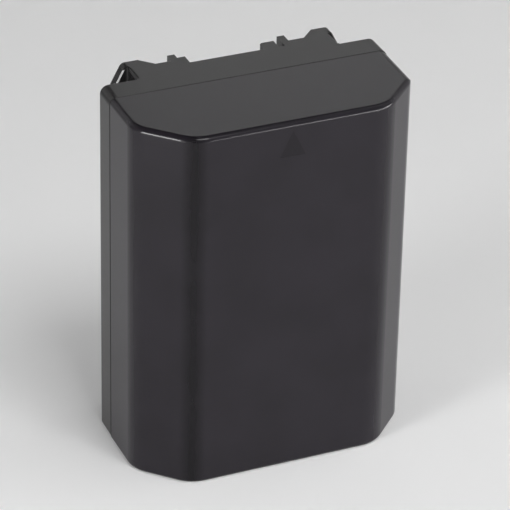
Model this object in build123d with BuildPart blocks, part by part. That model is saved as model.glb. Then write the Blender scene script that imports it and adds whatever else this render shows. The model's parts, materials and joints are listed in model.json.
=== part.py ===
from build123d import *

import os
from math import sqrt, tan, radians

# Two-cell rechargeable battery for a camera, standing on its base with the terminal end up.
# X is the width, Y runs from the front face to the back, Z is up from the base.
# The case is worked out around the two cells: walls, pads, strips and the board set its outer size.

# Cells
cell_diameter = 17.6
cell_length = 48.6
cell_gap = 0.2
cell_shoulder_radius = 0.8
cap_radius = 3.2
cap_height = 0.5
crimp_offset = 3.2
crimp_radius = 0.5
washer_thickness = 0.25
washer_inset = 0.5

# Case walls and the room left around the cells
wall = 0.9
cell_clearance = 0.1
side_clearance = 0.75
pad_thickness = 0.5
strip_thickness = 0.15

# Board and what stands behind it
board_gap = 0.55
board_thickness = 0.8
component_room = 1.95
back_wall = 0.8

# Outside of the front case
case_depth = 13.95
corner_chamfer = 6.0
front_edge_radius = 4.8
side_edge_radius = 4.15
top_edge_radius = 0.75
side_top_radius = 1.6
base_edge_radius = 0.55
case_draft = 0.45
mark_width = 3.5
mark_height = 3.6
mark_drop = 1.2
mark_sink = 0.05

# Lap joint at the seam
lap_length = 1.0
lap_thickness = 0.4
lap_clearance = 0.05
lap_corner_radius = 0.8
cover_step = 0.07
seam_chamfer = 0.12

# Cradle ribs that hold the cells inside the front case
rib_thickness = 1.0
rib_reach = 4.2
rib_inset = 12.0
rib_clearance = 0.1

# Outside of the rear cover
cover_draft = 0.4
cover_edge_radius = 0.25
cover_corner_radius = 1.15
shoulder_drop = 0.75
web_overhang = 5.2
web_wall = 0.8
web_edge_radius = 0.4
rail_overhang = 2.3
rail_thickness = 1.4
rail_lead_height = 3.6
rail_lead_offset = 0.4
rail_lead_radius = 0.8
rail_edge_radius = 0.3
lead_bevel = 0.2
groove_radius = 0.3
groove_stop = 8.0
foot_chamfer = 1.2

# Terminal bay at the upper end of the back
bay_height = 6.5
ear_width = 1.9
ledge_sink = 1.8
outer_tab_sink = 0.25
outer_tab_width = 1.0
inner_tab_sink = 0.7
inner_tab_dip = 0.3
tab_centre = 7.7
left_inner_tab_width = 1.3
right_inner_tab_width = 2.1
tab_corner_radius = 0.6
key_slot_width = 0.65
recess_floor = 0.55

# Contacts
contact_count = 4
contact_pitch = 2.5
contact_width = 1.8
contact_thickness = 0.25
contact_lip = 0.85
window_width = 1.5
window_height = 4.0
window_drop = 1.4
holder_thickness = 0.7
holder_rib = 0.5

# Strips, pads and the sheet between cells and board
strip_width = 6.0
strip_corner_radius = 0.8
slit_width = 0.6
slit_length = 3.6
tail_width = 3.2
tap_width = 3.0
solder_overlap = 3.5
pad_margin = 3.5
pad_corner_radius = 2.0
sheet_thickness = 0.2
sheet_margin = 1.0
sheet_window = 3.0

# Board outline, its posts and the parts soldered on it
board_clearance = 0.4
board_foot = 7.0
board_head_gap = 0.4
board_corner_radius = 1.0
post_radius = 1.1
post_pin_radius = 0.5
post_pin_clearance = 0.06
post_inset = 1.8
chip_size = (6.4, 4.4, 1.0)
switch_size = (5.0, 6.0, 0.95)
resistor_size = (6.3, 3.1, 0.6)
fuse_size = (3.2, 5.4, 0.9)
sensor_width = 1.6
sensor_reach = 1.5
sensor_radius = 0.4
small_part_width = 1.6
small_part_height = 0.8
capacitor_thickness = 0.8
chip_resistor_thickness = 0.45
small_part_pitch = 2.2
lead_width = 0.3
lead_reach = 0.7
lead_thickness = 0.2
lead_pitch = 0.65
lead_count = 6
switch_lead_count = 4
package_chamfer = 0.15
chip_place = (-0.40, 0.25)
switch_place = (0.45, 0.35)
resistor_place = (0.45, -0.13)
fuse_place = (-0.51, -0.28)
capacitor_count = 4
capacitor_row = (-0.34, -0.05)
chip_resistor_count = 5
chip_resistor_row = (0.17, -0.40)

# Sizes that follow from the ones above
cell_radius = cell_diameter / 2
cell_x = cell_radius + cell_gap / 2
pack_width = 2 * (2 * cell_radius + cell_gap / 2 + side_clearance + wall)
end_stack = wall + pad_thickness + strip_thickness
pack_height = cell_length + 2 * end_stack
cell_depth = wall + cell_clearance + cell_radius
cell_back = cell_depth + cell_radius
board_depth = cell_back + board_gap
board_back = board_depth + board_thickness
cavity_back = board_back + component_room
pack_depth = cavity_back + back_wall
shoulder_depth = cell_back - shoulder_drop
web_half = cell_x + web_overhang
rail_half = web_half + rail_overhang
cover_top = pack_height - cover_step
bay_floor = cover_top - bay_height
cavity_half = pack_width / 2 - wall
cavity_top = pack_height - wall
cell_foot = end_stack
cell_head = cell_foot + cell_length
middle_half = web_half - web_wall
board_half = middle_half - board_clearance
board_head = bay_floor - wall - board_head_gap
board_mid = (board_foot + board_head) / 2
board_reach = (board_head - board_foot) / 2
post_x = board_half - post_inset
post_z = board_reach - post_inset


def y_at(depth):
    """Y of a point that lies the given depth behind the front face."""
    return depth - pack_depth / 2


def facing_back(depth):
    """Plane at a depth from the front face, looking out of the back, with its own Y upwards."""
    return Plane((0, y_at(depth), 0), x_dir=(-1, 0, 0), z_dir=(0, 1, 0))


cell_places = [(-cell_x, y_at(cell_depth)), (cell_x, y_at(cell_depth))]
os.makedirs("parts", exist_ok=True)

# Plan of the front case: drafted sides, big 45 degree corners, flat front
seam_half = pack_width / 2
corner_half = seam_half - (case_depth - corner_chamfer) * tan(radians(case_draft))
front_half = corner_half - corner_chamfer
case_outline = [
    (-seam_half, y_at(case_depth)),
    (-corner_half, y_at(corner_chamfer)),
    (-front_half, y_at(0)),
    (front_half, y_at(0)),
    (corner_half, y_at(corner_chamfer)),
    (seam_half, y_at(case_depth)),
]
case_radii = [side_edge_radius, front_edge_radius, front_edge_radius, side_edge_radius]

# Plan of the hollow inside it, one wall further in
hollow_front = front_half - wall * (sqrt(2) - 1)
hollow_corner = cavity_half - hollow_front + wall
hollow_outline = [
    (-cavity_half, y_at(case_depth)),
    (-cavity_half, y_at(hollow_corner)),
    (-hollow_front, y_at(wall)),
    (hollow_front, y_at(wall)),
    (cavity_half, y_at(hollow_corner)),
    (cavity_half, y_at(case_depth)),
]

# Run of the fuller rounding on the sides' top edges, which ends in the big corners
side_top_run = case_depth - corner_chamfer + side_top_radius


def side_top_plane(side):
    """Plane across one side's top edge at the seam, looking along the drafted side to the front."""
    run = (seam_half - corner_half) / (case_depth - corner_chamfer)
    outward = (side, -run, 0)
    forward = (-side * run, -1, 0)
    return Plane((side * seam_half, y_at(case_depth), pack_height), x_dir=outward, z_dir=forward)


# Front case: shell with the chamfered corners, open at the seam
with BuildPart() as front_case:
    with BuildSketch():
        with BuildLine():
            sides = FilletPolyline(*case_outline, radius=case_radii)
            Line(sides @ 1, sides @ 0)
        make_face()
    extrude(amount=pack_height)
    fillet(front_case.faces().sort_by(Axis.Z)[-1].edges().sort_by(Axis.Y)[:-1], top_edge_radius)
    fillet(front_case.faces().sort_by(Axis.Z)[0].edges().sort_by(Axis.Y)[:-1], base_edge_radius)
    # Fuller rounding of the two side edges at the top, along the drafted sides
    for side in (-1, 1):
        with BuildSketch(side_top_plane(side)):
            Rectangle(side_top_radius, side_top_radius, align=(Align.MAX, Align.MAX))
            with Locations((-side_top_radius, -side_top_radius)):
                Circle(side_top_radius, mode=Mode.SUBTRACT)
        extrude(amount=side_top_run, mode=Mode.SUBTRACT)
    chamfer(front_case.faces().sort_by(Axis.Y)[-1].edges(), seam_chamfer)
    with BuildSketch(Plane.XY.offset(wall)):
        with BuildLine():
            Polyline(*hollow_outline, close=True)
        make_face()
    extrude(amount=pack_height - 2 * wall, mode=Mode.SUBTRACT)
    # Rebate that takes the tongue of the rear cover
    with BuildSketch(Plane.XZ.offset(-y_at(case_depth))):
        with Locations((0, pack_height / 2)):
            RectangleRounded(2 * (cavity_half + lap_thickness + lap_clearance),
                             pack_height - 2 * (wall - lap_thickness - lap_clearance),
                             lap_corner_radius + lap_clearance)
    extrude(amount=lap_length + lap_clearance, mode=Mode.SUBTRACT)
    # Cradle ribs that fill the valleys round the two cells
    for rib_z in (rib_inset, pack_height - rib_inset - rib_thickness):
        with BuildSketch(Plane.XY.offset(rib_z)):
            with BuildLine():
                Polyline(*hollow_outline, close=True)
            make_face()
            with Locations((0, y_at(rib_reach))):
                Rectangle(pack_width, pack_depth, align=(Align.CENTER, Align.MIN), mode=Mode.SUBTRACT)
            with Locations(*cell_places):
                Circle(cell_radius + cell_clearance + rib_clearance, mode=Mode.SUBTRACT)
        extrude(amount=rib_thickness)
    # Sunk arrow on the front face that points to the terminal end
    with BuildSketch(Plane.XZ.offset(-y_at(0))):
        with BuildLine():
            mark_top = pack_height - mark_drop
            Polyline((0, mark_top), (-mark_width / 2, mark_top - mark_height),
                     (mark_width / 2, mark_top - mark_height), close=True)
        make_face()
    extrude(amount=-mark_sink, mode=Mode.SUBTRACT)

front_case.part.label = "front_case"
export_step(front_case.part, "parts/front_case.step")

# Rear edge of the terminal bay, from the left ear to the right one
ear_half = web_half - ear_width
ledge_depth = pack_depth - ledge_sink
outer_depth = pack_depth - outer_tab_sink
inner_depth = pack_depth - inner_tab_sink
recess_depth = board_depth + recess_floor
tab_in = tab_centre - outer_tab_width / 2
tab_out = tab_centre + outer_tab_width / 2
recess_left = -tab_in + left_inner_tab_width
key_in = tab_in - key_slot_width
recess_right = key_in - right_inner_tab_width
recess_centre = (recess_left + recess_right) / 2
ledge_half = ear_half - ledge_sink
bay_clear = pack_depth + ledge_sink


def draw_bay():
    """Draw the closed outline, in plan, of what the terminal bay takes out of the back."""
    left = [
        (recess_right, recess_depth),
        (recess_left, recess_depth),
        (recess_left, inner_depth),
        (-tab_in, inner_depth),
        (-tab_in, outer_depth),
        (-tab_out, outer_depth),
        (-tab_out, ledge_depth),
        (-ledge_half, ledge_depth),
        (-ear_half, pack_depth),
    ]
    right = [
        (ear_half, pack_depth),
        (ledge_half, ledge_depth),
        (tab_out, ledge_depth),
        (tab_out, outer_depth),
        (tab_in, outer_depth),
        (tab_in, recess_depth),
        (key_in, recess_depth),
        (key_in, inner_depth),
        (recess_right + tab_corner_radius, inner_depth),
    ]
    start = Polyline(*[(x, y_at(depth)) for x, depth in left])
    Polyline(start @ 1, (-ear_half, y_at(bay_clear)), (ear_half, y_at(bay_clear)),
             (ear_half, y_at(pack_depth)))
    end = Polyline(*[(x, y_at(depth)) for x, depth in right])
    corner = (recess_right, y_at(inner_depth - tab_corner_radius))
    RadiusArc(end @ 1, corner, -tab_corner_radius)
    Line(corner, start @ 0)


# Sizes of the rear cover's tray and rails
tray_height = pack_height - 2 * cover_step
tray_half = pack_width / 2 - cover_step
shoulder_half = tray_half - (shoulder_depth - case_depth) * tan(radians(cover_draft))
tray_sections = [
    (case_depth, tray_half - seam_chamfer, seam_chamfer),
    (case_depth + seam_chamfer, tray_half, 0),
    (shoulder_depth, shoulder_half, 0),
]
rail_depth = pack_depth - rail_thickness
lead_slope = rail_lead_height / (rail_overhang - rail_lead_offset)
lead_corner = web_half + rail_lead_offset
lead_clear = rail_half + rail_overhang
web_depth = shoulder_depth - wall
groove_depth = rail_depth - groove_radius


def draw_lead(inset):
    """Draw what is taken off above a slanted flange end, with the slope moved in by the inset."""
    corner = lead_corner - inset
    slope = FilletPolyline((web_half - ear_width, cover_top), (corner, cover_top),
                           (lead_clear, cover_top - (lead_clear - corner) * lead_slope),
                           radius=rail_lead_radius)
    Polyline(slope @ 1, (lead_clear, pack_height + rail_lead_radius),
             (web_half - ear_width, pack_height + rail_lead_radius), slope @ 0)


# What is cut away above the slanted end that leads a rail in: it has a bevelled front edge
with BuildPart() as lead_cut:
    with BuildSketch(Plane.XZ.offset(-y_at(rail_depth))):
        with BuildLine():
            draw_lead(lead_bevel)
        make_face()
    extrude(amount=groove_radius)
    for depth, inset in ((rail_depth, lead_bevel), (rail_depth + lead_bevel, 0)):
        with BuildSketch(Plane.XZ.offset(-y_at(depth))):
            with BuildLine():
                draw_lead(inset)
            make_face()
    loft(ruled=True)
    with BuildSketch(Plane.XZ.offset(-y_at(pack_depth))):
        with BuildLine():
            draw_lead(0)
        make_face()
    extrude(amount=rail_thickness - lead_bevel)

# Rear cover: shallow tray with drafted sides, raised middle with side grooves, terminal bay
with BuildPart() as rear_cover:
    for depth, half, inset in tray_sections:
        with BuildSketch(facing_back(depth)) as tray:
            with Locations((0, pack_height / 2)):
                Rectangle(2 * half, tray_height - 2 * inset)
            fillet(tray.vertices().group_by(Axis.Y)[-1], cover_corner_radius - inset)
            fillet(tray.vertices().group_by(Axis.Y)[0], base_edge_radius - inset)
    loft(ruled=True)
    fillet(rear_cover.faces().sort_by(Axis.Y)[-1].edges(), cover_edge_radius)
    # Raised middle: web, rail flanges and the block that stops the grooves at the base
    with BuildSketch(Plane.XY.offset(cover_step)) as rail:
        with Locations((0, y_at((web_depth + pack_depth) / 2))):
            Rectangle(2 * web_half, pack_depth - web_depth)
        with Locations((0, y_at(pack_depth - rail_thickness / 2))):
            Rectangle(2 * rail_half, rail_thickness)
        fillet(rail.vertices().group_by(Axis.Y)[1].sort_by(Axis.X)[1:-1], groove_radius)
        fillet(rail.vertices().group_by(Axis.X)[0] + rail.vertices().group_by(Axis.X)[-1], rail_edge_radius)
    extrude(amount=tray_height)
    with BuildSketch(Plane.XY.offset(cover_step)):
        with Locations((0, y_at((shoulder_depth + pack_depth - rail_edge_radius) / 2))):
            Rectangle(2 * rail_half, pack_depth - rail_edge_radius - shoulder_depth)
    extrude(amount=groove_stop - cover_step)
    # Slanted upper ends of the flanges, and rounded upper edges of the web in the grooves
    add(lead_cut.part, mode=Mode.SUBTRACT)
    mirror(lead_cut.part, about=Plane.YZ, mode=Mode.SUBTRACT)
    with BuildSketch(Plane.XZ.offset(-y_at(groove_depth))):
        for side in (-1, 1):
            with Locations((side * (web_half - web_edge_radius / 2), cover_top - web_edge_radius / 2)):
                Rectangle(web_edge_radius, web_edge_radius)
            with Locations((side * (web_half - web_edge_radius), cover_top - web_edge_radius)):
                Circle(web_edge_radius, mode=Mode.SUBTRACT)
    extrude(amount=groove_depth - shoulder_depth, mode=Mode.SUBTRACT)
    # Slope at the foot of the raised middle
    with BuildSketch(Plane.YZ.offset(-rail_half)):
        with BuildLine():
            Polyline((y_at(pack_depth), cover_step), (y_at(pack_depth), cover_step + foot_chamfer),
                     (y_at(pack_depth - foot_chamfer), cover_step), close=True)
        make_face()
    extrude(amount=2 * rail_half, mode=Mode.SUBTRACT)
    # Terminal bay and the slightly lower inner tabs
    with BuildSketch(Plane.XY.offset(bay_floor)):
        with BuildLine():
            draw_bay()
        make_face()
    extrude(amount=bay_height, mode=Mode.SUBTRACT)
    with BuildSketch(Plane.XY.offset(cover_top - inner_tab_dip)):
        with Locations((recess_left, y_at(recess_depth))):
            Rectangle(left_inner_tab_width, inner_depth - recess_depth, align=(Align.MAX, Align.MIN))
        with Locations((recess_right, y_at(recess_depth))):
            Rectangle(right_inner_tab_width, inner_depth - recess_depth, align=(Align.MIN, Align.MIN))
    extrude(amount=inner_tab_dip, mode=Mode.SUBTRACT)
    # Hollow of the tray, of the raised middle below the bay, and of the space behind the bay
    with BuildSketch(facing_back(case_depth)):
        with Locations((0, pack_height / 2)):
            Rectangle(2 * cavity_half, pack_height - 2 * wall)
    extrude(amount=shoulder_depth - wall - case_depth, mode=Mode.SUBTRACT)
    with BuildSketch(facing_back(case_depth)):
        with Locations((0, bay_floor / 2)):
            Rectangle(2 * middle_half, bay_floor - 2 * wall)
    extrude(amount=cavity_back - case_depth, mode=Mode.SUBTRACT)
    with BuildSketch(facing_back(case_depth)):
        with Locations((0, pack_height / 2)):
            Rectangle(2 * middle_half, pack_height - 2 * wall)
    extrude(amount=board_depth - case_depth, mode=Mode.SUBTRACT)
    with BuildSketch(Plane.XY.offset(wall)):
        with Locations(*cell_places):
            Circle(cell_radius + cell_clearance)
    extrude(amount=pack_height - 2 * wall, mode=Mode.SUBTRACT)
    # Tongue that sits in the rebate of the front case
    with BuildSketch(Plane.XZ.offset(-y_at(case_depth))):
        with Locations((0, pack_height / 2)):
            RectangleRounded(2 * (cavity_half + lap_thickness), pack_height - 2 * (wall - lap_thickness),
                             lap_corner_radius)
            RectangleRounded(2 * cavity_half, pack_height - 2 * wall, lap_corner_radius - lap_thickness,
                             mode=Mode.SUBTRACT)
    extrude(amount=lap_length)
    # Windows in the floor of the recess that show the contacts
    with BuildSketch(Plane.XZ.offset(-y_at(recess_depth))):
        with Locations((recess_centre, cover_top - window_drop - window_height / 2)):
            with GridLocations(contact_pitch, 0, contact_count, 1):
                Rectangle(window_width, window_height)
    extrude(amount=recess_floor, mode=Mode.SUBTRACT)
    # Posts that carry the board, with pins through it
    with BuildSketch(Plane.XZ.offset(-y_at(cavity_back))):
        with Locations((0, board_mid)):
            with GridLocations(2 * post_x, 2 * post_z, 2, 2):
                Circle(post_radius)
    extrude(amount=component_room)
    with BuildSketch(Plane.XZ.offset(-y_at(board_back))):
        with Locations((0, board_mid)):
            with GridLocations(2 * post_x, 2 * post_z, 2, 2):
                Circle(post_pin_radius)
    extrude(amount=board_thickness)

rear_cover.part.label = "rear_cover"
export_step(rear_cover.part, "parts/rear_cover.step")

# Cells: drawn cans with a rolled shoulder, a crimp below the positive end and a raised cap
cell_planes = {
    "left_cell": Plane((-cell_x, y_at(cell_depth), cell_foot), x_dir=(1, 0, 0), z_dir=(0, -1, 0)),
    "right_cell": Plane((cell_x, y_at(cell_depth), cell_head), x_dir=(1, 0, 0), z_dir=(0, 1, 0)),
}
for cell_name, place in cell_planes.items():
    can_length = cell_length - cap_height
    with BuildPart() as cell:
        with BuildSketch(place) as section:
            Rectangle(cell_radius, can_length, align=(Align.MIN, Align.MIN))
            fillet(section.vertices().group_by(Axis.X)[-1], cell_shoulder_radius)
            Rectangle(cap_radius, cell_length, align=(Align.MIN, Align.MIN))
            with Locations((cell_radius, can_length - crimp_offset)):
                Circle(crimp_radius, mode=Mode.SUBTRACT)
        revolve(axis=Axis(place.origin, place.y_dir))
    cell.part.label = cell_name
    export_step(cell.part, f"parts/{cell_name}.step")

    # Paper washer round the cap
    ring_plane = Plane(place.origin + place.y_dir * can_length, x_dir=place.x_dir, z_dir=place.y_dir)
    with BuildPart() as washer:
        with BuildSketch(ring_plane):
            Circle(cell_radius - cell_shoulder_radius - washer_inset)
            Circle(cap_radius + cell_clearance, mode=Mode.SUBTRACT)
        extrude(amount=washer_thickness)
    washer.part.label = f"{cell_name}_washer"
    export_step(washer.part, f"parts/{cell_name}_washer.step")

# Strips from the upper ends of the cells, bent down behind them and soldered to the board
tail_foot = board_head - solder_overlap
pad_back = cell_depth + strip_width / 2
for strip_name, (strip_x, strip_y) in zip(("positive_strip", "negative_strip"), cell_places):
    with BuildPart() as strip:
        with BuildSketch(Plane.XY.offset(cell_head)):
            with Locations((strip_x, strip_y)):
                RectangleRounded(strip_width, strip_width, strip_corner_radius)
                Rectangle(slit_width, slit_length, mode=Mode.SUBTRACT)
            with Locations((strip_x, y_at(pad_back - strip_corner_radius))):
                Rectangle(tail_width, board_depth - pad_back + strip_corner_radius,
                          align=(Align.CENTER, Align.MIN))
        extrude(amount=strip_thickness)
        with BuildSketch(Plane.XY.offset(tail_foot)):
            with Locations((strip_x, y_at(board_depth))):
                Rectangle(tail_width, strip_thickness, align=(Align.CENTER, Align.MAX))
        extrude(amount=cell_head + strip_thickness - tail_foot)
    strip.part.label = strip_name
    export_step(strip.part, f"parts/{strip_name}.step")

# Link across the lower ends of the cells, with the middle tap bent up to the board
link_foot = cell_foot - strip_thickness
with BuildPart() as series_link:
    with BuildSketch(Plane.XY.offset(link_foot)):
        with Locations((0, y_at(cell_depth))):
            RectangleRounded(2 * cell_x + strip_width, strip_width, strip_corner_radius)
        with Locations(*cell_places):
            Rectangle(slit_width, slit_length, mode=Mode.SUBTRACT)
        with Locations((0, y_at(cell_depth))):
            Rectangle(tap_width, board_depth - cell_depth, align=(Align.CENTER, Align.MIN))
    extrude(amount=strip_thickness)
    with BuildSketch(Plane.XY.offset(link_foot)):
        with Locations((0, y_at(board_depth))):
            Rectangle(tap_width, strip_thickness, align=(Align.CENTER, Align.MAX))
    extrude(amount=board_foot + solder_overlap - link_foot)

series_link.part.label = "series_link"
export_step(series_link.part, "parts/series_link.step")

# Foam pads between the cells' ends and the case
for pad_name, pad_z in (("base_pad", wall), ("top_pad", cell_head + strip_thickness)):
    with BuildPart() as pad:
        with BuildSketch(Plane.XY.offset(pad_z)):
            with Locations((0, y_at(cell_depth))):
                RectangleRounded(2 * (cavity_half - pad_margin), 2 * (cell_radius - pad_margin),
                                 pad_corner_radius)
        extrude(amount=pad_thickness)
    pad.part.label = pad_name
    export_step(pad.part, f"parts/{pad_name}.step")

# Circuit board on its four posts
with BuildPart() as circuit_board:
    with BuildSketch(Plane.XZ.offset(-y_at(board_back))):
        with Locations((0, board_mid)):
            RectangleRounded(2 * board_half, board_head - board_foot, board_corner_radius)
            with GridLocations(2 * post_x, 2 * post_z, 2, 2):
                Circle(post_pin_radius + post_pin_clearance, mode=Mode.SUBTRACT)
    extrude(amount=board_thickness)

circuit_board.part.label = "circuit_board"
export_step(circuit_board.part, "parts/circuit_board.step")

# Paper sheet between the cells and the board, with a window for the temperature sensor
sheet_height = board_head - board_foot - 2 * (solder_overlap + sheet_margin)
with BuildPart() as insulating_sheet:
    with BuildSketch(Plane.XZ.offset(-y_at(cell_back + cell_clearance + sheet_thickness))):
        with Locations((0, board_mid)):
            Rectangle(2 * (board_half - sheet_margin), sheet_height)
            Rectangle(sheet_window, sheet_window, mode=Mode.SUBTRACT)
    extrude(amount=sheet_thickness)

insulating_sheet.part.label = "insulating_sheet"
export_step(insulating_sheet.part, "parts/insulating_sheet.step")

# Temperature sensor on the board's front, reaching into the valley between the cells
with BuildPart() as temperature_sensor:
    with BuildSketch(Plane.XZ.offset(-y_at(board_depth))):
        with Locations((0, board_mid)):
            Rectangle(sensor_width, sensor_width)
    extrude(amount=sensor_reach)
    fillet(temperature_sensor.faces().sort_by(Axis.Y)[0].edges(), sensor_radius)

temperature_sensor.part.label = "temperature_sensor"
export_step(temperature_sensor.part, "parts/temperature_sensor.step")

# Packaged parts on the back of the board: name, place as a share of its half sizes, body size, leads a side
packages = [
    ("gauge_chip", chip_place, chip_size, lead_count),
    ("power_switch", switch_place, switch_size, switch_lead_count),
    ("sense_resistor", resistor_place, resistor_size, 1),
    ("protection_fuse", fuse_place, fuse_size, 1),
]
for package_name, (share_x, share_z), (width, height, thickness), leads in packages:
    place = (-share_x * board_half, board_mid + share_z * board_reach)
    lead_span = width + 2 * lead_reach
    single_lead = height - 2 * lead_width
    with BuildPart() as package:
        with BuildSketch(facing_back(board_back)):
            with Locations(place):
                Rectangle(width, height)
        extrude(amount=thickness)
        chamfer(package.faces().sort_by(Axis.Y)[-1].edges(), package_chamfer)
        with BuildSketch(facing_back(board_back)):
            with Locations(place):
                with GridLocations(0, lead_pitch, 1, leads):
                    Rectangle(lead_span, single_lead if leads == 1 else lead_width)
        extrude(amount=lead_thickness)
    package.part.label = package_name
    export_step(package.part, f"parts/{package_name}.step")

# Rows of small two-ended parts on the back of the board
small_rows = [
    ("chip_capacitors", capacitor_row, capacitor_thickness, capacitor_count),
    ("chip_resistors", chip_resistor_row, chip_resistor_thickness, chip_resistor_count),
]
for row_name, (share_x, share_z), thickness, count in small_rows:
    with BuildPart() as row:
        with BuildSketch(facing_back(board_back)):
            with Locations((-share_x * board_half, board_mid + share_z * board_reach)):
                with GridLocations(small_part_pitch, 0, count, 1):
                    Rectangle(small_part_width, small_part_height)
        extrude(amount=thickness)
    row.part.label = row_name
    export_step(row.part, f"parts/{row_name}.step")

# Comb that carries the contacts behind the recess
contact_head = cavity_top - pad_thickness
contact_face = board_depth - contact_thickness
holder_foot = board_head + board_head_gap
holder_head = contact_head - contact_thickness
holder_width = contact_count * contact_pitch + holder_rib
with BuildPart() as terminal_holder:
    with BuildSketch(Plane.XY.offset(holder_foot)):
        with Locations((recess_centre, y_at(contact_face))):
            Rectangle(holder_width, holder_thickness, align=(Align.CENTER, Align.MAX))
            with GridLocations(contact_pitch, 0, contact_count + 1, 1):
                Rectangle(holder_rib, contact_thickness, align=(Align.CENTER, Align.MIN))
        with Locations(*cell_places):
            Circle(cell_radius + cell_clearance, mode=Mode.SUBTRACT)
    extrude(amount=holder_head - holder_foot)

terminal_holder.part.label = "terminal_holder"
export_step(terminal_holder.part, "parts/terminal_holder.step")

# Contacts: plated strips with a lip over the comb and a foot soldered to the board
contact_names = ["positive_contact", "data_contact", "sensor_contact", "negative_contact"]
for index, contact_name in enumerate(contact_names):
    contact_x = recess_centre + (index - (contact_count - 1) / 2) * contact_pitch
    with BuildPart() as contact:
        with BuildSketch(Plane.XZ.offset(-y_at(board_depth))):
            with Locations((contact_x, tail_foot)):
                Rectangle(contact_width, contact_head - tail_foot, align=(Align.CENTER, Align.MIN))
        extrude(amount=contact_thickness)
        with BuildSketch(Plane.XY.offset(holder_head)):
            with Locations((contact_x, y_at(board_depth))):
                Rectangle(contact_width, contact_lip, align=(Align.CENTER, Align.MAX))
        extrude(amount=contact_thickness)
    contact.part.label = contact_name
    export_step(contact.part, f"parts/{contact_name}.step")

print(f"outer size {pack_width:.2f} x {pack_depth:.2f} x {pack_height:.2f} mm")
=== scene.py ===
# %% [markdown]
# # A camera battery on a pale floor
# The object is a slim rechargeable pack in two welded black mouldings. Its solids arrive from the CAD
# model, already in place and in metres, so this lesson is about what makes them look real: the grain of
# moulded plastic, the weld in the seam, the plated contacts, and studio light that shows every edge.

# %% Load the frame
import json
from math import cos, pi, radians, sin

import bpy
from mathutils import Matrix, Vector


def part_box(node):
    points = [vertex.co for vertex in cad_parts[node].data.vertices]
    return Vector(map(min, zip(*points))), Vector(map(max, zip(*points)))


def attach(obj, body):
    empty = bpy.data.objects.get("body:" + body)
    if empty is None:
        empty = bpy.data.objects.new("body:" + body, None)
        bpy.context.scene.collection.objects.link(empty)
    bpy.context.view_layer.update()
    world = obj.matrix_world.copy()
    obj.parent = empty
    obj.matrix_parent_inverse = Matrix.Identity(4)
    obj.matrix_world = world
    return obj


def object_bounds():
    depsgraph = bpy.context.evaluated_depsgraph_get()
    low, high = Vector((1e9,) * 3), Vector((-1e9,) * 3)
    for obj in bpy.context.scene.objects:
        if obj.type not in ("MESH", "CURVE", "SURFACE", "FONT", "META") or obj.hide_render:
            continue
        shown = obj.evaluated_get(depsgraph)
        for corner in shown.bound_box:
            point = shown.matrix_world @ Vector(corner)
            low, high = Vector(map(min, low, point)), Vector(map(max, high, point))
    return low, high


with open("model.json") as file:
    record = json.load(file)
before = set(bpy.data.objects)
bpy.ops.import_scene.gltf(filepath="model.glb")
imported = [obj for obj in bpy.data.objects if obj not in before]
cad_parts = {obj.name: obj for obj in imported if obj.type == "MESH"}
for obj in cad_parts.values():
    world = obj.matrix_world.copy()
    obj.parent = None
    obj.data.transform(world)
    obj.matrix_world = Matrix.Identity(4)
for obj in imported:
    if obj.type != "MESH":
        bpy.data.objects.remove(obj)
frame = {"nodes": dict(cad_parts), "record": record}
cad_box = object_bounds()
nodes = frame["nodes"]
scene = bpy.context.scene
print("loaded", len(nodes), "solids, box", [[round(1000 * v, 2) for v in corner] for corner in cad_box], "mm")

# %% [markdown]
# ## Measure what the later pieces need
# A piece that sits on a solid takes its place from that solid's box, never from a number typed in twice.
# The seam lies on the rear face of the front case, and the arrow mark on its front face.

# %% Sizes taken from the solids
MM = 0.001
low, high = cad_box
centre = (low + high) / 2
case_low, case_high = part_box("front_case")
print("front face at y", round(case_low.y / MM, 2), "mm, seam at y", round(case_high.y / MM, 2), "mm")

# %% [markdown]
# ## A small kit for node materials
# Every finish below is drawn by nodes from the Object coordinate, so it stays put on the piece from any
# side. Small helpers keep the recipes short. The first ones start a material, add a node and give a noise of
# a stated grain size. The next lead a pattern to tone, gloss or relief. The last mark out a region and change
# the finish there. Noise stays near the middle of its range, so the patterns are cut from that middle.

# %% Material helpers
NOISE_LOW, NOISE_HIGH = 0.3, 0.7
TONE_LOW, TONE_HIGH = 0.35, 0.65


def add_node(tree, kind, **sockets):
    """Add a node to a tree and set its input sockets by name, with spaces written as underscores."""
    node = tree.nodes.new(kind)
    for name, value in sockets.items():
        node.inputs[name.replace("_", " ")].default_value = value
    return node


def new_finish(name, **sockets):
    """Start a material: its tree, its shader with constant sockets set, and its Object coordinate."""
    material = bpy.data.materials.new(name)
    material.use_nodes = True
    tree = material.node_tree
    shader = tree.nodes["Principled BSDF"]
    for socket, value in sockets.items():
        shader.inputs[socket.replace("_", " ")].default_value = value
    place = tree.nodes.new("ShaderNodeTexCoord").outputs["Object"]
    return material, tree, shader, place


def grain(tree, place, size, detail=2.0, stretch=None):
    """Noise whose blotches are about the given size in metres, drawn out along an axis if asked."""
    if stretch is not None:
        mapping = add_node(tree, "ShaderNodeMapping", Scale=stretch)
        tree.links.new(place, mapping.inputs["Vector"])
        place = mapping.outputs["Vector"]
    noise = add_node(tree, "ShaderNodeTexNoise", Scale=1 / size, Detail=detail)
    tree.links.new(place, noise.inputs["Vector"])
    return noise.outputs["Fac"]


def spread(tree, source, start, end, target):
    """Lead a 0 to 1 pattern to a socket as values from start to end."""
    span = add_node(
        tree, "ShaderNodeMapRange", From_Min=NOISE_LOW, From_Max=NOISE_HIGH, To_Min=start, To_Max=end)
    tree.links.new(source, span.inputs["Value"])
    tree.links.new(span.outputs["Result"], target)


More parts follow.
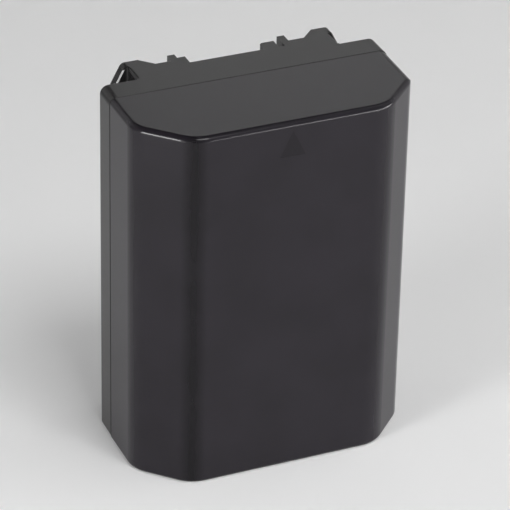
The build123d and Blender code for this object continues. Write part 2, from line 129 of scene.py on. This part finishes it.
def two_tone(tree, source, dark, pale, target):
    """Lead a 0 to 1 pattern to a colour socket as a mix of two close tones."""
    ramp = tree.nodes.new("ShaderNodeValToRGB")
    ramp.color_ramp.elements[0].position = TONE_LOW
    ramp.color_ramp.elements[0].color = (*dark, 1)
    ramp.color_ramp.elements[1].position = TONE_HIGH
    ramp.color_ramp.elements[1].color = (*pale, 1)
    tree.links.new(source, ramp.inputs["Fac"])
    tree.links.new(ramp.outputs["Color"], target)


def relief(tree, source, depth, strength, shader):
    """Press a 0 to 1 pattern into the surface, as deep as stated in metres."""
    bump = add_node(tree, "ShaderNodeBump", Strength=strength, Distance=depth)
    tree.links.new(source, bump.inputs["Height"])
    tree.links.new(bump.outputs["Normal"], shader.inputs["Normal"])


def compute(tree, operation, *values):
    """One Math node whose inputs are sockets or plain numbers."""
    node = tree.nodes.new("ShaderNodeMath")
    node.operation = operation
    for socket, value in zip(node.inputs, values):
        if isinstance(value, float):
            socket.default_value = value
        else:
            tree.links.new(value, socket)
    return node.outputs[0]


def inside_box(tree, place, middle, reach):
    """Pattern that is 1 inside a box, given by its middle and its reach along each axis, and 0 outside."""
    steps = [("SUBTRACT", middle), ("DIVIDE", reach), ("ABSOLUTE", None)]
    for operation, operand in steps:
        step = tree.nodes.new("ShaderNodeVectorMath")
        step.operation = operation
        tree.links.new(place, step.inputs[0])
        if operand is not None:
            step.inputs[1].default_value = operand
        place = step.outputs[0]
    parts = tree.nodes.new("ShaderNodeSeparateXYZ")
    tree.links.new(place, parts.inputs[0])
    furthest = compute(tree, "MAXIMUM", parts.outputs["X"], parts.outputs["Y"])
    furthest = compute(tree, "MAXIMUM", furthest, parts.outputs["Z"])
    return compute(tree, "LESS_THAN", furthest, 1.0)


def overlay(material, mask, shade, roughness):
    """Where a mask is 1, multiply the tone of a finish and change its roughness."""
    tree = material.node_tree
    shader = tree.nodes["Principled BSDF"]
    shaded = tree.nodes.new("ShaderNodeMix")
    shaded.data_type = "RGBA"
    shaded.blend_type = "MULTIPLY"
    tree.links.new(mask, shaded.inputs["Factor"])
    tree.links.new(shader.inputs["Base Color"].links[0].from_socket, shaded.inputs["A"])
    shaded.inputs["B"].default_value = (shade, shade, shade, 1)
    tree.links.new(shaded.outputs["Result"], shader.inputs["Base Color"])
    gloss = shader.inputs["Roughness"].links[0].from_socket
    tree.links.new(compute(tree, "MULTIPLY_ADD", mask, roughness, gloss), shader.inputs["Roughness"])


print("material helpers ready")

# %% [markdown]
# ## The moulded shells
# Both shells are black plastic from a spark-eroded mould: a grain of about a sixth of a millimetre that
# breaks up reflections, over slow changes in gloss where hands have polished it. A photograph of the grain
# would repeat and blur close up, so noise at three sizes draws it: fine for relief, middle for gloss, and
# wide for the tone.

# %% Moulded black plastic
TONE_SIZE = 9 * MM
GLOSS_SIZE = 1.6 * MM
GLOSS_DETAIL = 4.0
GRAIN_SIZE = 0.16 * MM
GRAIN_DETAIL = 3.0
GRAIN_DEPTH = 0.004 * MM
GRAIN_STRENGTH = 0.2
SHELL_GLOSS = (0.155, 0.19)


def moulded_plastic(name, dark, pale, gloss, specular):
    """Plastic with slow changes of tone, finer changes of gloss, and the fine relief of the mould."""
    material, tree, shader, place = new_finish(name, Specular_IOR_Level=specular)
    two_tone(tree, grain(tree, place, TONE_SIZE), dark, pale, shader.inputs["Base Color"])
    spread(tree, grain(tree, place, GLOSS_SIZE, GLOSS_DETAIL), *gloss, shader.inputs["Roughness"])
    relief(tree, grain(tree, place, GRAIN_SIZE, GRAIN_DETAIL), GRAIN_DEPTH, GRAIN_STRENGTH, shader)
    return material


finishes = {
    "case_plastic": moulded_plastic(
        "case_plastic", (0.0128, 0.0112, 0.0140), (0.0152, 0.0133, 0.0168), SHELL_GLOSS, 0.22),
    "cover_plastic": moulded_plastic(
        "cover_plastic", (0.0134, 0.0128, 0.0132), (0.0159, 0.0152, 0.0157), SHELL_GLOSS, 0.225),
    "holder_plastic": moulded_plastic(
        "holder_plastic", (0.012, 0.012, 0.012), (0.018, 0.018, 0.018), (0.45, 0.55), 0.4),
    "package_resin": moulded_plastic(
        "package_resin", (0.014, 0.014, 0.015), (0.022, 0.022, 0.024), (0.5, 0.6), 0.4),
    "sensor_resin": moulded_plastic(
        "sensor_resin", (0.02, 0.02, 0.03), (0.03, 0.03, 0.045), (0.25, 0.35), 0.5),
}
print("plastics", sorted(finishes))

# %% [markdown]
# ## The arrow mark
# The arrow that points to the terminal end is sunk a twentieth of a millimetre into the front face. In the
# mould its floor isn't polished, so on the case it is a little duller and darker than the face around it. A
# box drawn in the material, just behind the front face, picks out that floor and nothing else.

# %% Duller floor of the arrow
MARK_BEHIND = 0.12 * MM
MARK_DROP = 3 * MM
MARK_MIDDLE = Vector((0.0, case_low.y + MARK_BEHIND, case_high.z - MARK_DROP))
MARK_REACH = Vector((2 * MM, 0.09 * MM, 2.2 * MM))
MARK_SHADE = 0.7
MARK_ROUGHNESS = 0.05
case_tree = finishes["case_plastic"].node_tree
case_place = case_tree.nodes["Texture Coordinate"].outputs["Object"]
mark = inside_box(case_tree, case_place, MARK_MIDDLE, MARK_REACH)
overlay(finishes["case_plastic"], mark, MARK_SHADE, MARK_ROUGHNESS)
print("arrow mark", [round(v / MM, 2) for v in MARK_MIDDLE], "mm")

# %% [markdown]
# ## Rubbed cover edges, and painted shade on the left front edge
# A pack is pushed into a bay and pulled out by hand again and again, so the edges across the cover lose the
# mould's grain first: without the grain's haze the plastic there is smoother and blacker, unevenly along the
# edge. On the case only the left front edge is darkened the same way, and there the darker colour is painted
# shade that stands in for the dark reflection along that rounded edge, with only its slight smoothing from
# wear. A point on the surface lies near an edge where a second outer face is close by too. The outer faces
# are read from the solid itself, as the large flat faces that all of it lies behind, so the darkening moves
# with the shape.

# %% Rubbed cover edges and painted shade on the case's left front edge
EDGE_CORE = 0.45 * MM
EDGE_REACH = 1.3 * MM
EDGE_PATCH = 2.5 * MM
EDGE_DETAIL = 3.0
EDGE_LEAST = 0.65
EDGE_SWING = 0.4
EDGE_SHADE = 0.3
EDGE_ROUGHNESS = -0.03
FLAT_AREA = 100 * MM * MM
NORMAL_PLACES = 2
FACING = 0.5
FAR = 1.0


def outer_planes(solid, wanted):
    """Wanted flat faces that the whole solid lies behind: the normal of each and how far out it is."""
    areas = {}
    for face in solid.data.polygons:
        normal = tuple(round(part, NORMAL_PLACES) for part in face.normal)
        areas[normal] = areas.get(normal, 0) + face.area
    planes = []
    for normal, area in areas.items():
        if area > FLAT_AREA and wanted(Vector(normal)):
            along = Vector(normal).normalized()
            planes.append((along, max(along.dot(vertex.co) for vertex in solid.data.vertices)))
    return planes


def wear_and_painted_shade_edges(material, solid, wanted):
    """Smooth and blacken a finish near the edges between the wanted outer faces of a solid."""
    tree = material.node_tree
    place = tree.nodes["Texture Coordinate"].outputs["Object"]
    nearest = FAR
    second = FAR
    planes = outer_planes(solid, wanted)
    for normal, reach in planes:
        along = add_node(tree, "ShaderNodeVectorMath")
        along.operation = "DOT_PRODUCT"
        tree.links.new(place, along.inputs[0])
        along.inputs[1].default_value = normal
        gap = compute(tree, "SUBTRACT", reach, along.outputs["Value"])
        second = compute(tree, "MINIMUM", second, compute(tree, "MAXIMUM", nearest, gap))
        nearest = compute(tree, "MINIMUM", nearest, gap)
    closeness = add_node(
        tree, "ShaderNodeMapRange", From_Min=EDGE_CORE, From_Max=EDGE_REACH, To_Min=1.0, To_Max=0.0)
    tree.links.new(second, closeness.inputs["Value"])
    blotches = grain(tree, place, EDGE_PATCH, EDGE_DETAIL)
    patches = compute(tree, "MULTIPLY_ADD", blotches, EDGE_SWING, EDGE_LEAST)
    uneven = compute(tree, "MULTIPLY", closeness.outputs["Result"], patches)
    overlay(material, uneven, EDGE_SHADE, EDGE_ROUGHNESS)
    print(solid.name, "darkened between", len(planes), "outer faces")


# On the case only the front and the left chamfer count, so its darkened edge is painted shade on the left
# front edge.
wear_and_painted_shade_edges(finishes["case_plastic"], nodes["front_case"],
          lambda normal: normal.y < -FACING and normal.x < FACING)
wear_and_painted_shade_edges(finishes["cover_plastic"], nodes["rear_cover"], lambda normal: abs(normal.x) < FACING)

# %% [markdown]
# ## Painted shade along the seam on the sides
# Down the long sides the seam shows as a dark, rough line. A narrow box on each side, drawn in both
# finishes round the plane where the shells meet, picks out that line: its darker colour is painted shade of
# the groove between the shells, and its higher roughness makes it matt.

# %% Painted shade and rougher edge along the seam
SEAM_INWARDS = 0.5 * MM
SEAM_HALF_WIDTH = 0.25 * MM
SEAM_REACH = Vector((SEAM_INWARDS, SEAM_HALF_WIDTH, case_high.z - case_low.z))
# Painted shade of the seam groove: the base colour in the band is multiplied by this.
SEAM_SHADE = 0.4
SEAM_ROUGHNESS = 0.5
for finish in (finishes["case_plastic"], finishes["cover_plastic"]):
    tree = finish.node_tree
    place = tree.nodes["Texture Coordinate"].outputs["Object"]
    for side in (case_low.x, case_high.x):
        seam_middle = Vector((side, case_high.y, (case_low.z + case_high.z) / 2))
        overlay(finish, inside_box(tree, place, seam_middle, SEAM_REACH), SEAM_SHADE, SEAM_ROUGHNESS)
print("painted seam shade", round(2 * SEAM_HALF_WIDTH / MM, 2), "mm wide on two sides")

# %% [markdown]
# ## Metal strips and contacts
# Rolled nickel shows fine lines along the way it was rolled, and thin gold over nickel is smoother with
# small changes in tone. Noise stretched along one axis draws rolling lines without any picture.

# %% Rolled and plated metal
METAL_TONE_SIZE = 2 * MM
LINE_DETAIL = 3.0
LINE_STRENGTH = 0.3


def rolled_metal(name, dark, pale, gloss, line_size, line_depth, stretch):
    """Metal with slow changes of tone and fine lines along the axis that the pattern is stretched on."""
    material, tree, shader, place = new_finish(name, Metallic=1.0)
    two_tone(tree, grain(tree, place, METAL_TONE_SIZE), dark, pale, shader.inputs["Base Color"])
    lines = grain(tree, place, line_size, LINE_DETAIL, stretch)
    spread(tree, lines, *gloss, shader.inputs["Roughness"])
    relief(tree, lines, line_depth, LINE_STRENGTH, shader)
    return material


finishes["nickel_strip"] = rolled_metal(
    "nickel_strip", (0.52, 0.50, 0.46), (0.64, 0.62, 0.58), (0.22, 0.40),
    line_size=0.12 * MM, line_depth=0.004 * MM, stretch=(1.0, 1.0, 0.06))
finishes["contact_plating"] = rolled_metal(
    "contact_plating", (0.74, 0.52, 0.20), (0.86, 0.64, 0.28), (0.18, 0.34),
    line_size=0.10 * MM, line_depth=0.003 * MM, stretch=(1.0, 1.0, 0.08))
print("metals: nickel strip and contact plating")

# %% [markdown]
# ## The pieces inside
# Sleeved cells, ceramic parts, paper and foam are closed in, yet they are part of the object and keep their
# own finish. One noise of the right size draws the tone, the gloss and the relief of each.

# %% Cell sleeve, ceramic, paper and foam
BLOTCH_DETAIL = 4.0
BLOTCH_STRENGTH = 0.4


def plain_finish(name, dark, pale, gloss, blotch, depth):
    """Plain finish whose tone, gloss and relief follow one pattern of blotches of the given size."""
    material, tree, shader, place = new_finish(name)
    pattern = grain(tree, place, blotch, BLOTCH_DETAIL)
    two_tone(tree, pattern, dark, pale, shader.inputs["Base Color"])
    spread(tree, pattern, *gloss, shader.inputs["Roughness"])
    relief(tree, pattern, depth, BLOTCH_STRENGTH, shader)
    return material


finishes["cell_sleeve"] = plain_finish(
    "cell_sleeve", (0.10, 0.24, 0.22), (0.13, 0.29, 0.26), (0.20, 0.32), 4 * MM, 0.02 * MM)
finishes["fuse_ceramic"] = plain_finish(
    "fuse_ceramic", (0.70, 0.68, 0.63), (0.78, 0.76, 0.71), (0.45, 0.60), 0.2 * MM, 0.01 * MM)
finishes["capacitor_ceramic"] = plain_finish(
    "capacitor_ceramic", (0.46, 0.34, 0.22), (0.54, 0.42, 0.28), (0.35, 0.50), 0.2 * MM, 0.01 * MM)
finishes["insulating_paper"] = plain_finish(
    "insulating_paper", (0.50, 0.45, 0.32), (0.60, 0.55, 0.40), (0.70, 0.85), 0.25 * MM, 0.02 * MM)
finishes["foam"] = plain_finish(
    "foam", (0.05, 0.05, 0.055), (0.11, 0.11, 0.115), (0.85, 0.95), 0.35 * MM, 0.12 * MM)
print("finishes so far:", len(finishes))

# %% [markdown]
# ## The circuit board
# The board is green resin under a clear coat. Its copper tracks are the joints of a brick pattern, turned to
# lie in the plane of the board and raised a little under the green mask.

# %% Circuit board
BOARD_GLOSS_SIZE = 0.4 * MM
BOARD_GLOSS = (0.28, 0.40)
TRACK_DEPTH = 0.03 * MM
TRACK_STRENGTH = 0.5


def board_mask(name):
    """Green board with copper tracks under its mask."""
    material, tree, shader, place = new_finish(name, Coat_Weight=0.4)
    turned = add_node(tree, "ShaderNodeMapping", Rotation=(pi / 2, 0, 0))
    tree.links.new(place, turned.inputs["Vector"])
    tracks = add_node(
        tree, "ShaderNodeTexBrick", Scale=1 / MM, Mortar_Size=0.06, Brick_Width=6.0, Row_Height=1.1,
        Color1=(0.018, 0.13, 0.055, 1), Color2=(0.016, 0.11, 0.048, 1), Mortar=(0.035, 0.19, 0.07, 1))
    tree.links.new(turned.outputs["Vector"], tracks.inputs["Vector"])
    tree.links.new(tracks.outputs["Color"], shader.inputs["Base Color"])
    spread(tree, grain(tree, place, BOARD_GLOSS_SIZE), *BOARD_GLOSS, shader.inputs["Roughness"])
    relief(tree, tracks.outputs["Fac"], TRACK_DEPTH, TRACK_STRENGTH, shader)
    return material


finishes["board_resin"] = board_mask("board_resin")
print("inner finishes ready,", len(finishes), "in all")

# %% [markdown]
# ## Give each solid its finish
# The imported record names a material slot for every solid, so the finish is looked up there. A solid keeps
# its mesh: only the material in its slot changes.

# %% Assign the finishes
for entry in frame["record"]["subparts"]:
    nodes[entry["node"]].material_slots[0].material = finishes[entry["material_slot"]]

# %% [markdown]
# ## Geometry Nodes helpers
# A piece that follows a path is drawn by a Geometry Nodes tree that the script builds. The tree has named
# inputs, ends in real meshes with their material, and is run once: the result is kept as a plain mesh, so
# nothing is left to evaluate later.

# %% Tree, link and result
def new_tree(name, inputs):
    """A Geometry Nodes group with the named float inputs and a geometry output."""
    tree = bpy.data.node_groups.new(name, "GeometryNodeTree")
    for label in inputs:
        tree.interface.new_socket(label, in_out="INPUT", socket_type="NodeSocketFloat")
    tree.interface.new_socket("Geometry", in_out="OUTPUT", socket_type="NodeSocketGeometry")
    return tree, tree.nodes.new("NodeGroupInput").outputs, tree.nodes.new("NodeGroupOutput").inputs


def link(tree, source, node, socket):
    """Lead a socket to an input of a node, and give the node back."""
    tree.links.new(source, node.inputs[socket])
    return node


def ending(tree, geometry, material, output):
    """Close a tree as the export needs it: real meshes with their material."""
    real = link(tree, geometry, tree.nodes.new("GeometryNodeRealizeInstances"), "Geometry")
    coloured = link(tree, real.outputs["Geometry"], tree.nodes.new("GeometryNodeSetMaterial"), "Geometry")
    coloured.inputs["Material"].default_value = material
    tree.links.new(coloured.outputs["Geometry"], output["Geometry"])


def grow(name, tree, values):
    """Run a tree on an empty mesh, keep the result as a plain mesh, and let it ride on the part."""
    maker = bpy.data.objects.new(name + "_maker", bpy.data.meshes.new(name + "_maker"))
    scene.collection.objects.link(maker)
    modifier = maker.modifiers.new(name, "NODES")
    modifier.node_group = tree
    for item in tree.interface.items_tree:
        if item.in_out == "INPUT":
            modifier[item.identifier] = values[item.name]
    shape = maker.evaluated_get(bpy.context.evaluated_depsgraph_get())
    mesh = bpy.data.meshes.new_from_object(shape)
    bpy.data.objects.remove(maker)
    mesh.name = name
    mesh.shade_smooth()
    piece = bpy.data.objects.new(name, mesh)
    scene.collection.objects.link(piece)
    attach(piece, "root")
    print(name, len(mesh.polygons), "faces")


print("tree helpers ready")

# %% [markdown]
# ## Weld in the seam
# Where the shells meet, their bevelled edges leave a narrow groove. Ultrasound melts the plastic there, and
# a thin matt bead is left at the bottom of the groove; its near-black, almost glossless colour is painted
# shade of the groove. It follows the outline of the case, so it is drawn as a path: a rectangle whose corners
# are rounded more at the top than at the base, swept by a small circle.

# %% Weld bead as a Geometry Nodes tree
CORNER_STEPS = 10
BEAD_SIDES = 8
BEAD_RADIUS = 0.09 * MM
BEAD_SINK = 0.15 * MM
BEAD_OFFSET = 0.03 * MM
CASE_TOP_RADIUS = 1.6 * MM
CASE_BASE_RADIUS = 0.55 * MM


def seam_tree(material):
    """Tree that sweeps a small circle round the outline of the case, in the plane of the seam."""
    tree, given, output = new_tree(
        "seam_bead", ["Width", "Height", "Middle", "Seam", "Top Radius", "Base Radius", "Bead Radius"])
    outline = tree.nodes.new("GeometryNodeCurvePrimitiveQuadrilateral")
    link(tree, given["Width"], outline, "Width")
    link(tree, given["Height"], outline, "Height")
    position = tree.nodes.new("GeometryNodeInputPosition")
    at = link(tree, position.outputs[0], tree.nodes.new("ShaderNodeSeparateXYZ"), 0)
    upper = link(tree, at.outputs["Y"], tree.nodes.new("FunctionNodeCompare"), "A")
    radius = tree.nodes.new("GeometryNodeSwitch")
    radius.input_type = "FLOAT"
    link(tree, upper.outputs["Result"], radius, "Switch")
    link(tree, given["Base Radius"], radius, "False")
    link(tree, given["Top Radius"], radius, "True")
    rounded = tree.nodes.new("GeometryNodeFilletCurve")
    rounded.mode = "POLY"
    rounded.inputs["Count"].default_value = CORNER_STEPS
    link(tree, outline.outputs["Curve"], rounded, "Curve")
    link(tree, radius.outputs["Output"], rounded, "Radius")
    section = tree.nodes.new("GeometryNodeCurvePrimitiveCircle")
    section.inputs["Resolution"].default_value = BEAD_SIDES
    link(tree, given["Bead Radius"], section, "Radius")
    bead = link(tree, rounded.outputs["Curve"], tree.nodes.new("GeometryNodeCurveToMesh"), "Curve")
    link(tree, section.outputs["Curve"], bead, "Profile Curve")
    place = tree.nodes.new("ShaderNodeCombineXYZ")
    link(tree, given["Seam"], place, "Y")
    link(tree, given["Middle"], place, "Z")
    stood = link(tree, bead.outputs["Mesh"], tree.nodes.new("GeometryNodeTransform"), "Geometry")
    stood.inputs["Rotation"].default_value = (pi / 2, 0, 0)
    link(tree, place.outputs[0], stood, "Translation")
    ending(tree, stood.outputs["Geometry"], material, output)
    return tree


# The bead's near-black colour with almost no gloss is painted shade of the seam groove.
bead_shade_finish = moulded_plastic("weld_bead_with_painted_shade", (0.004, 0.004, 0.004), (0.007, 0.007, 0.007), (0.6, 0.75), 0.03)
grow("seam_bead", seam_tree(bead_shade_finish), {
    "Width": case_high.x - case_low.x - 2 * BEAD_SINK,
    "Height": case_high.z - case_low.z - 2 * BEAD_SINK,
    "Middle": (case_low.z + case_high.z) / 2,
    "Seam": case_high.y + BEAD_OFFSET,
    "Top Radius": CASE_TOP_RADIUS - BEAD_SINK,
    "Base Radius": CASE_BASE_RADIUS - BEAD_SINK,
    "Bead Radius": BEAD_RADIUS,
})

# %% [markdown]
# ## Floor and backdrop
# The battery stands on a pale sweep: a disc whose rim curves up all round, so no horizon shows from any
# side. It is turned from one profile, and it isn't part of the object.

# %% Pale sweep
FLOOR_RINGS = (0.02, 0.12, 0.30)
FLOOR_RADIUS = 0.62
RIM_RADIUS = 0.30
RIM_HEIGHT = 0.75
SWEEP_STEPS = 96
RIM_STEPS = 12
PAINT_SIZE = 0.2


def sweep_profile():
    """Radius and height of the sweep: flat rings, a quarter circle and an upright rim."""
    points = [(radius, 0.0) for radius in FLOOR_RINGS]
    for step in range(RIM_STEPS + 1):
        angle = pi / 2 * step / RIM_STEPS
        points.append((FLOOR_RADIUS + RIM_RADIUS * sin(angle), RIM_RADIUS * (1 - cos(angle))))
    return points + [(FLOOR_RADIUS + RIM_RADIUS, RIM_HEIGHT)]


def turned_sheet(name, profile, steps):
    """Mesh turned round Z from a list of radius and height, closed at its middle by a disc."""
    points = []
    for radius, height in profile:
        for step in range(steps):
            angle = 2 * pi * step / steps
            points.append((radius * cos(angle), radius * sin(angle), height))
    faces = [tuple(range(steps))]
    for ring in range(len(profile) - 1):
        for step in range(steps):
            after = (step + 1) % steps
            faces.append((ring * steps + step, (ring + 1) * steps + step,
                          (ring + 1) * steps + after, ring * steps + after))
    mesh = bpy.data.meshes.new(name)
    mesh.from_pydata(points, [], faces)
    mesh.shade_smooth()
    sheet = bpy.data.objects.new(name, mesh)
    scene.collection.objects.link(sheet)
    return sheet


floor = turned_sheet("floor", sweep_profile(), SWEEP_STEPS)
floor_finish, tree, shader, place = new_finish("floor_paint", Roughness=0.9, Specular_IOR_Level=0.1)
two_tone(
    tree, grain(tree, place, PAINT_SIZE), (0.93, 0.93, 0.93), (0.95, 0.95, 0.95), shader.inputs["Base Color"])
floor.data.materials.append(floor_finish)
print("floor", len(floor.data.polygons), "faces")

# %% [markdown]
# ## Light
# Black plastic shows mostly what it reflects. A low softbox on the left and a long strip on the right draw
# the thin bright lines on the rounded top edge and leave a dark band between them. A softbox at the back
# shows in the flat top. Two dim fills lighten the edges at the sides, two high softboxes light the floor, and
# a small near one lights the patch of floor that the left corner reflects. The world itself is dark. Each
# lamp is given by the angles it is seen at, its distance, its width and height in metres, and its power in
# watts.

# %% Softboxes
def direction(azimuth, elevation):
    """Unit vector from the object towards the given angles in degrees, with azimuth 0 in front of it."""
    a, e = radians(azimuth), radians(elevation)
    return Vector((sin(a) * cos(e), -cos(a) * cos(e), sin(e)))


def softbox(name, azimuth, elevation, distance, width, height, power):
    """Area lamp seen from the object at the given angles, turned to face it."""
    towards = direction(azimuth, elevation)
    light = bpy.data.lights.new(name, "AREA")
    light.shape = "RECTANGLE"
    light.size, light.size_y = width, height
    light.energy = power
    lamp = bpy.data.objects.new(name, light)
    lamp.location = centre + distance * towards
    lamp.rotation_euler = towards.to_track_quat("Z", "Y").to_euler()
    lamp.visible_camera = False
    scene.collection.objects.link(lamp)


LAMPS = {
    "left_softbox": (-70, 9, 0.50, 0.13, 0.13, 1.45),
    "right_strip": (49, 4, 0.50, 0.58, 0.05, 2.9),
    "right_fill": (104, 24, 0.50, 0.30, 0.40, 0.15),
    "high_right_softbox": (90, 58, 0.50, 0.20, 0.20, 0.15),
    "high_front_softbox": (8, 60, 0.50, 0.20, 0.20, 0.95),
    "back_left_fill": (-147, 28, 0.50, 0.30, 0.45, 0.15),
    "back_softbox": (150, 34, 0.50, 0.20, 0.20, 0.088),
    "near_left_softbox": (-66, 8, 0.15, 0.07, 0.07, 0.035),
}
for name, setting in LAMPS.items():
    softbox(name, *setting)
world = bpy.data.worlds.new("dark_world")
world.use_nodes = True
world.node_tree.nodes["Background"].inputs["Strength"].default_value = 0.0
scene.world = world
scene.view_settings.view_transform = "Standard"

# %% [markdown]
# ## Camera
# The view is a long lens from the front left, half way up. Its angles, distance and focal length come from
# fitting the solid's outline to the photograph. The aim is a fraction of a millimetre off the middle of the
# battery.

# %% Camera at the photograph's angle
VIEW_AZIMUTH = -23.354
VIEW_ELEVATION = 30.903
VIEW_ROLL = 1.260
VIEW_DISTANCE = 438.75 * MM
LENS = 235.454
SENSOR_WIDTH = 36.0
CLIP_START = 0.01
AIM_OFFSET = Vector((0.047, 0.071, 0.137)) * MM

camera_data = bpy.data.cameras.new("camera")
camera_data.sensor_width = SENSOR_WIDTH
camera_data.lens = LENS
camera_data.clip_start = CLIP_START
camera = bpy.data.objects.new("camera", camera_data)
backwards = direction(VIEW_AZIMUTH, VIEW_ELEVATION)
sideways = Vector((cos(radians(VIEW_AZIMUTH)), sin(radians(VIEW_AZIMUTH)), 0))
upwards = backwards.cross(sideways)
turn = Matrix((sideways, upwards, backwards)).transposed().to_4x4()
camera.matrix_world = (Matrix.Translation(centre + AIM_OFFSET + VIEW_DISTANCE * backwards) @ turn
                       @ Matrix.Rotation(radians(VIEW_ROLL), 4, "Z"))
scene.collection.objects.link(camera)
scene.camera = camera
print("camera at", [round(v, 4) for v in camera.location])
